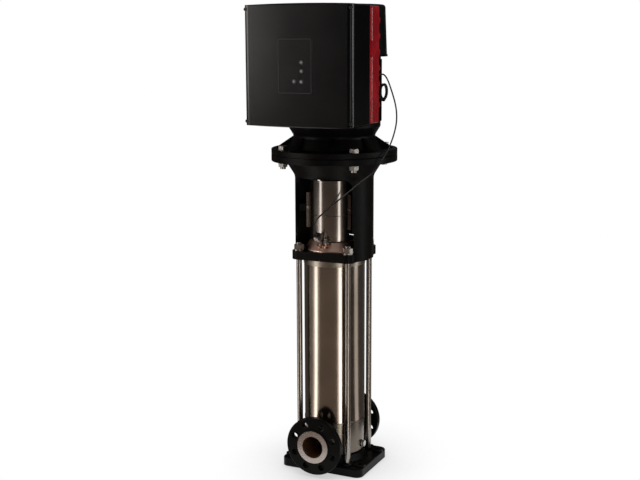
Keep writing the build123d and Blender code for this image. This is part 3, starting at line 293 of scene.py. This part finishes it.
LOW_CARDS = {
    "left": (-158, -46, (0.050, 0.044, 0.038)),
    "left_streak": (-46, -37, (0.55, 0.52, 0.48)),
    "front": (-37, 42, (0.055, 0.043, 0.035)),
    "front_streak": (42, 52, (0.55, 0.52, 0.48)),
    "right": (52, 104, (0.040, 0.036, 0.032)),
    "back_right": (122, 172, (0.03, 0.028, 0.026)),
    "back": (172, 202, (0.12, 0.11, 0.10)),
}
HIGH_CARDS = {
    "far_left": (-158, -64, (0.03, 0.03, 0.03)),
    "left_window": (-64, -31, (3.8, 3.6, 3.4)),
    "front": (-31, 66, (0.015, 0.015, 0.015)),
    "right_shade": (66, 88, (0.30, 0.30, 0.30)),
    "right_window": (86, 98, (5.0, 5.0, 4.9)),
    "right_fade": (98, 122, (0.30, 0.30, 0.30)),
    "back_right": (122, 180, (0.012, 0.012, 0.012)),
    "back": (180, 202, (0.10, 0.10, 0.10)),
}
for card_name, card in FLOOR_CARDS.items():
    add_flat_card(f"floor_{card_name}", *card)
for card_name, card in LOW_CARDS.items():
    add_card(f"low_{card_name}", *card, 0.0, BOX_LEVEL)
for card_name, card in HIGH_CARDS.items():
    add_card(f"high_{card_name}", *card, BOX_LEVEL, WINDOW_TOP)
add_card("top_band", -158, 202, (0.06, 0.06, 0.06), WINDOW_TOP, CEILING, steps=72)
add_flat_card("ceiling_card", -180, 180, (0.10, 0.10, 0.10), inner=0.0, level=CEILING, steps=72)
print("cards", len(FLOOR_CARDS) + len(LOW_CARDS) + len(HIGH_CARDS) + 2)

# %% [markdown]
# Black castings show their form by highlights alone. A point lamp would leave small hard spots on them,
# so each of the four lamps is a soft rectangle, placed on a ring about the pump and turned to its axis.

# %% Lamps
def place_around(azimuth, distance, height):
    """Point on a ring about the pump; azimuth 0 is in front of the box and 90 is to its right."""
    turn = radians(azimuth)
    return Vector((distance * sin(turn), -distance * cos(turn), height))


def add_lamp(name, azimuth, distance, height, width, tall, power, aim):
    """Soft rectangular lamp that faces the pump's axis at the height of aim."""
    data = bpy.data.lights.new(name, "AREA")
    data.shape, data.size, data.size_y, data.energy = "RECTANGLE", width, tall, power
    lamp = bpy.data.objects.new(name, data)
    lamp.location = place_around(azimuth, distance, height)
    lamp.rotation_mode = "QUATERNION"
    lamp.rotation_quaternion = (Vector((0, 0, aim)) - lamp.location).to_track_quat("-Z", "Y")
    lamp.visible_camera = False
    scene.collection.objects.link(lamp)


# Each lamp has an azimuth, a distance and a height, then its width, how tall it is, its power in watts
# and the height on the pump's axis that it faces.
LAMPS = {
    "left": (-40, 2.9, 1.3, 0.5, 2.6, 5, 0.7),
    "front": (46, 2.9, 1.3, 0.4, 2.6, 4, 0.7),
    "right": (113, 2.9, 1.3, 0.6, 2.6, 8, 0.7),
    "above": (20, 1.2, 3.4, 1.6, 1.6, 3, 1.0),
}
for lamp_name, lamp in LAMPS.items():
    add_lamp(f"lamp_{lamp_name}", *lamp)
print("lamps", len(LAMPS))

# %% [markdown]
# A thin cable leaves the side of the control box, hangs down past the stool and ends in the plug of
# the pressure sensor. Straight pieces joined at the points would show a corner at each of them. A cable
# has none, so this is one smooth curve: the points pull it without lying on it, which is how a real
# cable rounds every bend.

# %% Sensor cable
CABLE_DIAMETER = 0.004
CABLE_POINTS = [
    (145, -34, 1119), (145, -16, 1119), (147.5, 3, 1117.5), (152, 15, 1104), (160.5, 15, 1083),
    (170, 12, 1060), (178.5, 8, 1037), (184, 4, 1012), (186.5, -5, 985.5), (184.5, -17, 959),
    (181, -31, 935), (177, -49, 914), (170, -71, 893), (158.5, -87, 869), (142, -83, 853),
    (124, -80, 841), (101, -79, 823), (80, -77, 806), (58, -76, 789), (38.5, -81, 771.5),
    (21.3, -91.5, 755), (6, -105, 739.5), (-4.5, -113.5, 725), (-11.47, -109.16, 705.8),
    (-10.27, -97.75, 689.42),
]


def smooth_line(name, points_mm, diameter):
    """Round cable along one NURBS curve pulled by the given points, in millimetres.

    The bevel is a circle of one metre and each point's radius scales it, so bounds fit the cable."""
    curve = bpy.data.curves.new(name, "CURVE")
    curve.dimensions = "3D"
    curve.bevel_depth = 1.0
    curve.bevel_resolution = 5
    curve.resolution_u = 12
    curve.use_fill_caps = True
    spline = curve.splines.new("NURBS")
    spline.points.add(len(points_mm) - 1)
    places = np.column_stack([np.array(points_mm) / 1000, np.ones(len(points_mm))])
    spline.points.foreach_set("co", places.ravel())
    spline.points.foreach_set("radius", np.full(len(points_mm), diameter / 2))
    spline.order_u = 3
    spline.use_endpoint_u = True
    return add_object(name, curve)


sensor_cable = smooth_line("sensor_cable_free", CABLE_POINTS, CABLE_DIAMETER)
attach(sensor_cable, "pump")
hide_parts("sensor_cable")
print("cable points", len(CABLE_POINTS))

# %% [markdown]
# A lead that is longer than its run is wound up and tied, and this one hangs beside the motor. Copies of
# one ring would look stamped. So the lead is one line that goes round more than twice and also circles
# slowly round the core of the ring, and its turns lie on each other as in a rope.

# %% Coiled lead beside the motor
COIL_CENTRE = (145.0, 3.5, 1071.0)
COIL_HALF_LENGTH = 24.0
COIL_HALF_HEIGHT = 20.4
COIL_TURNS = 2.69
BUNDLE_RADIUS = 2.4
POINTS_A_TURN = 15
FIRST_ANGLE, STRAND_ANGLE = 108, 150
TURNS_A_TWIST = 3
LEAD_OUT = [(145, -34, 1079), (144.6, -26, 1080), (143.2, -16, 1086)]
LEAD_BACK = [(144.6, -23, 1057.5), (145, -34, 1060)]


def coil_points():
    """An upright ring; its strand also circles slowly round the ring's own core, so turns lie as a rope."""
    start = radians(FIRST_ANGLE)
    turn = np.linspace(start, start - 2 * pi * COIL_TURNS, int(POINTS_A_TURN * COIL_TURNS))
    strand = (start - turn) / TURNS_A_TWIST + radians(STRAND_ANGLE)
    side = COIL_CENTRE[0] + BUNDLE_RADIUS * np.cos(strand)
    forward = COIL_CENTRE[1] + (COIL_HALF_LENGTH + BUNDLE_RADIUS * np.sin(strand)) * np.cos(turn)
    height = COIL_CENTRE[2] + (COIL_HALF_HEIGHT + BUNDLE_RADIUS * np.sin(strand)) * np.sin(turn)
    return np.column_stack([side, forward, height]).tolist()


COIL_LINE = LEAD_OUT + coil_points() + LEAD_BACK
spare_lead = smooth_line("spare_lead_coil", COIL_LINE, CABLE_DIAMETER)
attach(spare_lead, "pump")
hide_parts("lead_loop")

# %% [markdown]
# Numpy shapes the small trim. Each piece is a grid of points worked out from two parameters, such as
# the height and the turn round a bolt. Whole arrays keep that short and fast, and one function turns
# every grid into a mesh.

# %% Surfaces of two parameters
trim = {}


def surface(name, points, slot, body="pump", finish=None):
    """Mesh over a (rows, around, 3) grid in metres, closed the second way, with a cap at either end."""
    rows, around = points.shape[:2]
    mesh = bpy.data.meshes.new(name)
    row, column = np.meshgrid(np.arange(rows - 1), np.arange(around), indexing="ij")
    beside = (column + 1) % around
    quads = np.stack([row * around + column, row * around + beside,
                      (row + 1) * around + beside, (row + 1) * around + column], -1).reshape(-1, 4)
    ends = [list(range(around))[::-1], list(range((rows - 1) * around, rows * around))]
    mesh.from_pydata(points.reshape(-1, 3).tolist(), [], quads.tolist() + ends)
    piece = add_object(name, mesh)
    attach(piece, body)
    trim[piece] = finish or slot


def node_points(name):
    """Vertices of a CAD node in metres, one row each."""
    vertices = nodes[name].data.vertices
    flat = np.empty(3 * len(vertices), np.float32)
    vertices.foreach_get("co", flat)
    return flat.reshape(-1, 3).astype(float)


nut_top, bolt_top = (node_points(name)[:, 2].max() for name in ("staybolt_nuts", "staybolts"))
print("nut top", round(nut_top, 4), "bolt top", round(bolt_top, 4))

# %% [markdown]
# A staybolt stands a little out of its nut, and its end shows the thread. Bump in a material would
# leave the outline smooth, so the thread is real shape: a tube whose radius rises and falls along a
# line that climbs one pitch in each turn.

# %% Staybolt threads
THREAD_PITCH = 0.002
THREAD_ROOT, THREAD_CREST = 0.00803, 0.0084
THREAD_RUNOUT = 0.0008
STAYBOLT_OFFSET = 0.0745


def thread_points(x, y, low, high, around=48, rows=40):
    """Tube whose radius follows a triangle wave of (height over pitch less the part of a turn)."""
    height, turn = np.meshgrid(np.linspace(low, high, rows), np.linspace(0, 2 * pi, around, endpoint=False),
                               indexing="ij")
    phase = (height / THREAD_PITCH - turn / (2 * pi)) % 1.0
    radius = THREAD_ROOT + (THREAD_CREST - THREAD_ROOT) * (1 - np.abs(2 * phase - 1))
    return np.stack([x + radius * np.cos(turn), y + radius * np.sin(turn), height], -1)


for corner, (side_x, side_y) in enumerate(((1, 1), (-1, 1), (-1, -1), (1, -1))):
    thread = thread_points(side_x * STAYBOLT_OFFSET, side_y * STAYBOLT_OFFSET,
                           nut_top, bolt_top - THREAD_RUNOUT)
    surface(f"staybolt_thread_{corner + 1}", thread, "staybolt_steel")
print("threads", len(trim), "turns on each", round((bolt_top - nut_top) / THREAD_PITCH, 1))

# %% [markdown]
# A cable tie holds the coil at its lowest point. A tie is a flat strap and a plain torus would look
# like wire, so the section of this ring is flat with filled corners.

# %% Cable tie round the coil
TIE_RADIUS, TIE_WIDTH, TIE_SHEET = 0.0050, 0.0036, 0.0009
SQUARE_ACROSS, SQUARE_THROUGH = 0.4, 0.6


def tie_points(centre, around=40):
    """Ring of a flat section: the cosine and sine of its turn, drawn towards 1 so that its corners fill."""
    section = np.linspace(0, 2 * pi, 17)
    turn, part = np.meshgrid(section, np.linspace(0, 2 * pi, around, endpoint=False), indexing="ij")
    width = TIE_WIDTH / 2 * np.sign(np.cos(turn)) * np.abs(np.cos(turn)) ** SQUARE_ACROSS
    radius = TIE_RADIUS + TIE_SHEET / 2 * np.sign(np.sin(turn)) * np.abs(np.sin(turn)) ** SQUARE_THROUGH
    return np.stack([centre[0] + radius * np.cos(part), centre[1] + width,
                     centre[2] + radius * np.sin(part)], -1)


tie_centre = (COIL_CENTRE[0] / 1000, COIL_CENTRE[1] / 1000, (COIL_CENTRE[2] - COIL_HALF_HEIGHT) / 1000)
surface("coil_tie", tie_points(tie_centre), "gland_black")
print("tie at", [round(c, 4) for c in tie_centre])

# %% [markdown]
# The keys carry plain signs that anyone can read: a triangle up, one down, one to the side for start,
# and a square for stop. They could be a picture on the key; thin prisms stay sharp from close by.

# %% Signs on the keys
SIGN_SIZE = 0.0030
SIGN_SUNK, SIGN_PROUD = 0.0012, 0.0002


def sign_points(key, outline):
    """Flat sign: the outline times SIGN_SIZE, carried from inside the key's dome to just above it."""
    spots = node_points(key)
    centre = (spots.min(0) + spots.max(0)) / 2
    front = spots[:, 1].min()
    depth = np.array([front + SIGN_SUNK, front - SIGN_PROUD])[:, None]
    x, z = (centre[axis] + SIGN_SIZE * outline[None, :, column] for axis, column in ((0, 0), (2, 1)))
    return np.stack(np.broadcast_arrays(x, depth, z), -1)


def ring_outline(count, start=90.0):
    """Corners of a regular figure of count sides, the first at the angle start."""
    angle = np.radians(start + np.arange(count) * 360 / count)
    return np.column_stack([np.cos(angle), np.sin(angle)])


SIGNS = {"key_up": ring_outline(3), "key_down": ring_outline(3, 270),
         "key_start": ring_outline(3, 0), "key_stop": ring_outline(4, 45)}
for key, outline in SIGNS.items():
    surface(f"{key}_sign", sign_points(key, outline), "key_grey", body=key, finish="key_print")
print("trim pieces", len(trim))

# %% [markdown]
# Stainless steel comes in several dresses here. The sleeve and the guards are polished sheet, the
# base is satin, and the turned head has a warm tint. What sets them apart is how fine their grinding
# lines are and which way they run, so one function makes them all: noise that is drawn out round the
# axis tilts the surface a little and makes it a bit rougher here and there.

# %% Steel finishes
finishes = {}


def steel(name, colour, rough, line_scale=900.0, stretch=(40, 40, 1), cut=0.00002, stain=0.16):
    """Bare steel with grinding lines and faint stains."""
    finish = Finish(name)
    lines = finish.noise(line_scale, 4.0, stretch)
    clouds = finish.noise(9.0, 4.0, distortion=0.4)
    darker = tuple(c * (1 - stain) for c in colour)
    tint = finish.blend(finish.between(clouds, 0.35, 0.65), darker, colour)
    roughness = rough + (lines - 0.5) * 0.10 + (clouds - 0.5) * 0.12
    finish.paint(Base_Color=tint, Metallic=1.0, Roughness=roughness,
                 Normal=finish.relief(lines, cut, 0.6))
    finishes[name] = finish
    return finish


steel("sleeve_steel", (0.46, 0.40, 0.35), 0.16)
steel("guard_steel", (0.56, 0.50, 0.46), 0.17, line_scale=700.0)
steel("staybolt_steel", (0.34, 0.31, 0.285), 0.24, stretch=(1, 1, 60))
steel("fastener_steel", (0.60, 0.57, 0.53), 0.30, line_scale=500.0, stretch=(1, 1, 1))
steel("fitting_steel", (0.50, 0.45, 0.41), 0.28)
steel("stage_steel", (0.58, 0.58, 0.57), 0.30)
steel("impeller_steel", (0.62, 0.62, 0.61), 0.32)
steel("shaft_steel", (0.60, 0.59, 0.58), 0.18)
steel("bearing_steel", (0.62, 0.62, 0.62), 0.15)
steel("coupling_iron", (0.32, 0.31, 0.30), 0.38, line_scale=500.0)
steel("lamination_steel", (0.25, 0.22, 0.20), 0.50, line_scale=2500.0)
print("plain steels", len(finishes))

# %% [markdown]
# The base is dark satin steel, with turned rings on the face of each port and a film of rust inside.
# That could be painted on an image. But both follow simple measures, namely how far a point is from the
# axis of the ports and how far out it lies, so the finish works them out from the place of the point.

# %% Pump base with a rusty port
PORT_HEIGHT = 0.090
PORT_RADIUS = 0.0312
PORT_EDGE = 0.0004
PORT_FACE = 0.140
STEP = 0.001
GROOVES_A_METRE = 900.0
GROOVE_DEPTH = 0.00003
TURNED_STEEL = (0.50, 0.44, 0.40)
RUST = (0.16, 0.055, 0.022)


def base_finish():
    """Satin steel; rust within the port's radius of its axis, and turned rings on the face of the port."""
    finish = steel("base_steel", (0.185, 0.160, 0.135), 0.27, line_scale=600.0)
    x, y, z = finish.axes()
    reach = ((x * x) + (z - PORT_HEIGHT) * (z - PORT_HEIGHT)) ** 0.5
    inside = finish.between(reach, PORT_RADIUS, PORT_RADIUS + PORT_EDGE, 1.0, 0.0)
    rust = inside * finish.between(finish.noise(60.0, 5.0), 0.3, 0.6, 0.6, 1.0)
    face = finish.between(y.math("ABSOLUTE"), PORT_FACE, PORT_FACE + STEP)
    rings = (reach * GROOVES_A_METRE * 2 * pi).math("SINE") * face
    turned = finish.blend(face, finish.painted("Base Color"), TURNED_STEEL)
    grooves = finish.node("ShaderNodeBump", inputs={
        "Height": rings, "Distance": GROOVE_DEPTH, "Strength": 0.7, "Normal": finish.painted("Normal")},
        output="Normal")
    finish.paint(Base_Color=finish.blend(rust, turned, RUST), Metallic=1.0 - rust * 0.7,
                 Roughness=finish.painted("Roughness") + rust * 0.3, Normal=grooves)


base_finish()
print("port bore radius", PORT_RADIUS, "at height", PORT_HEIGHT)

# %% [markdown]
# The head is warm and dull on its cone, and plain below the flange that clamps it. Two materials on one
# piece would need its faces sorted; one material that changes at a height needs a single number.

# %% Head with a warm cone
CLAMPED_HEIGHT = 0.620
CLAMPED_STEEL = (0.42, 0.37, 0.31)


def head_finish():
    """Turned steel: warm and satin on the cone, and like the sleeve below the height of the flange."""
    finish = steel("head_steel", (0.80, 0.53, 0.42), 0.33)
    height = finish.axes()[2]
    below = finish.between(height, CLAMPED_HEIGHT, CLAMPED_HEIGHT + STEP, 1.0, 0.0)
    finish.paint(Base_Color=finish.blend(below, finish.painted("Base Color"), CLAMPED_STEEL))


head_finish()
print("steel finishes", len(finishes))

# %% [markdown]
# The castings are iron under black enamel. Sand leaves a pebbled skin, and the enamel rounds it off
# into a satin sheen that breaks up every highlight. Two noises do this: a coarse one for the skin of
# the mould and a fine one for the paint.

# %% Enamelled castings and painted sheet
def enamel(name, colour, rough, pebble=0.00016, pebble_scale=260.0, fine=0.00003, gloss=0.5, coat=0.0):
    """Paint over a cast or pressed surface: colour, sheen, the size of its pebbles and its clear coat."""
    finish = Finish(name)
    skin = finish.noise(pebble_scale, 3.0)
    peel = finish.noise(pebble_scale * 5, 2.0)
    dust = finish.noise(14.0, 5.0, distortion=0.6)
    lighter = tuple(c * 1.5 + 0.004 for c in colour)
    tint = finish.blend(finish.between(dust, 0.5, 0.75), colour, lighter)
    height = skin * pebble + peel * fine
    finish.paint(Base_Color=tint, Roughness=rough + (dust - 0.5) * 0.14 + (peel - 0.5) * 0.08,
                 Normal=finish.relief(height, 1.0, 1.0), Specular_IOR_Level=gloss,
                 Coat_Weight=coat, Coat_Roughness=0.08)
    finishes[name] = finish


enamel("black_iron", (0.004, 0.0034, 0.003), 0.40, gloss=0.10)
enamel("motor_black", (0.003, 0.0027, 0.0026), 0.42, pebble=0.00010, gloss=0.12)
enamel("cover_black", (0.004, 0.004, 0.0045), 0.30, pebble=0.00003, pebble_scale=500.0, gloss=0.3)
enamel("sink_red", (0.55, 0.006, 0.014), 0.26, pebble=0.00006, pebble_scale=350.0, coat=1.0)
enamel("screw_black", (0.02, 0.02, 0.02), 0.35, pebble=0.0, fine=0.00001)
print("finishes so far", len(finishes))

# %% [markdown]
# Moulded plastic has a grain that is etched into the mould: tiny even cells, finer than on a
# casting. The cover of the control box has it all over, and the panel is smooth. Rubber is the same
# idea with a duller surface.

# %% Plastics and rubber
def moulding(name, colour, rough, cell_scale=1400.0, depth=0.00002, gloss=0.5):
    """Etched plastic: Voronoi cells press the surface in, and faint clouds vary its sheen."""
    finish = Finish(name)
    cells = finish.node("ShaderNodeTexVoronoi", inputs={"Vector": finish.place, "Scale": cell_scale},
                        output="Distance")
    clouds = finish.noise(11.0, 3.0)
    tint = finish.blend(clouds, tuple(c * 0.9 for c in colour), tuple(c * 1.12 for c in colour))
    finish.paint(Base_Color=tint, Roughness=rough + (clouds - 0.5) * 0.08,
                 Normal=finish.relief(cells, depth, 0.8), Specular_IOR_Level=gloss)
    finishes[name] = finish
    return finish


moulding("box_black", (0.002, 0.002, 0.0021), 0.22, depth=0.000006, gloss=0.5)
moulding("key_grey", (0.10, 0.10, 0.105), 0.45, depth=0.00001)
moulding("key_print", (0.62, 0.62, 0.60), 0.5, depth=0.0)
moulding("gland_black", (0.012, 0.012, 0.012), 0.38)
moulding("cable_black", (0.010, 0.010, 0.010), 0.36, cell_scale=900.0, depth=0.00001)
moulding("fan_plastic", (0.02, 0.02, 0.02), 0.45)
moulding("board_green", (0.02, 0.10, 0.04), 0.35, cell_scale=300.0)
moulding("seal_rubber", (0.02, 0.02, 0.02), 0.6)
moulding("seal_ceramic", (0.06, 0.06, 0.065), 0.15, depth=0.000002)
print("finishes so far", len(finishes))

# %% [markdown]
# The panel is a smooth foil, and a thin lighter grey line is painted into its colour along the rim. The line
# follows the panel's rim, so the finish works out how far a point is from the middle in each direction and
# draws it where the rim is near.

# %% Control panel with a lighter grey rim line
PANEL_CENTRE = (-0.006, 1.1437)
PANEL_HALF = (0.048, 0.0695)
BORDER_WIDTH, BORDER_EDGE = 0.0016, 0.0002
BORDER_GREY = (0.075, 0.076, 0.076)


def panel_finish():
    """Smooth black foil; a lighter line runs where the wider of the two distances nears the rim."""
    finish = moulding("panel_black", (0.006, 0.006, 0.0065), 0.24, depth=0.000004, gloss=0.4)
    x, _, z = finish.axes()
    across = (x - PANEL_CENTRE[0]).math("ABSOLUTE") - PANEL_HALF[0]
    along = (z - PANEL_CENTRE[1]).math("ABSOLUTE") - PANEL_HALF[1]
    rim = across.math("MAXIMUM", along)
    line = finish.between(rim, -BORDER_WIDTH - BORDER_EDGE, -BORDER_WIDTH)
    finish.paint(Base_Color=finish.blend(line, finish.painted("Base Color"), BORDER_GREY))


panel_finish()
print("finishes", len(finishes))

# %% [markdown]
# Each node of the CAD model says in the record which finish it wears, so a short loop dresses them
# all. The two cables and the trim get theirs by name.

# %% Dress the CAD nodes
slot_of = {part["node"]: part["material_slot"] for part in frame["record"]["subparts"]}
for node_name, node in nodes.items():
    node.data.materials.clear()
    node.data.materials.append(finishes[slot_of[node_name]].material)
for piece in (sensor_cable, spare_lead):
    piece.data.materials.append(finishes["cable_black"].material)
for piece, finish_name in trim.items():
    piece.data.materials.append(finishes[finish_name].material)
print("dressed", len(nodes), "nodes with", len(set(slot_of.values())), "finishes")
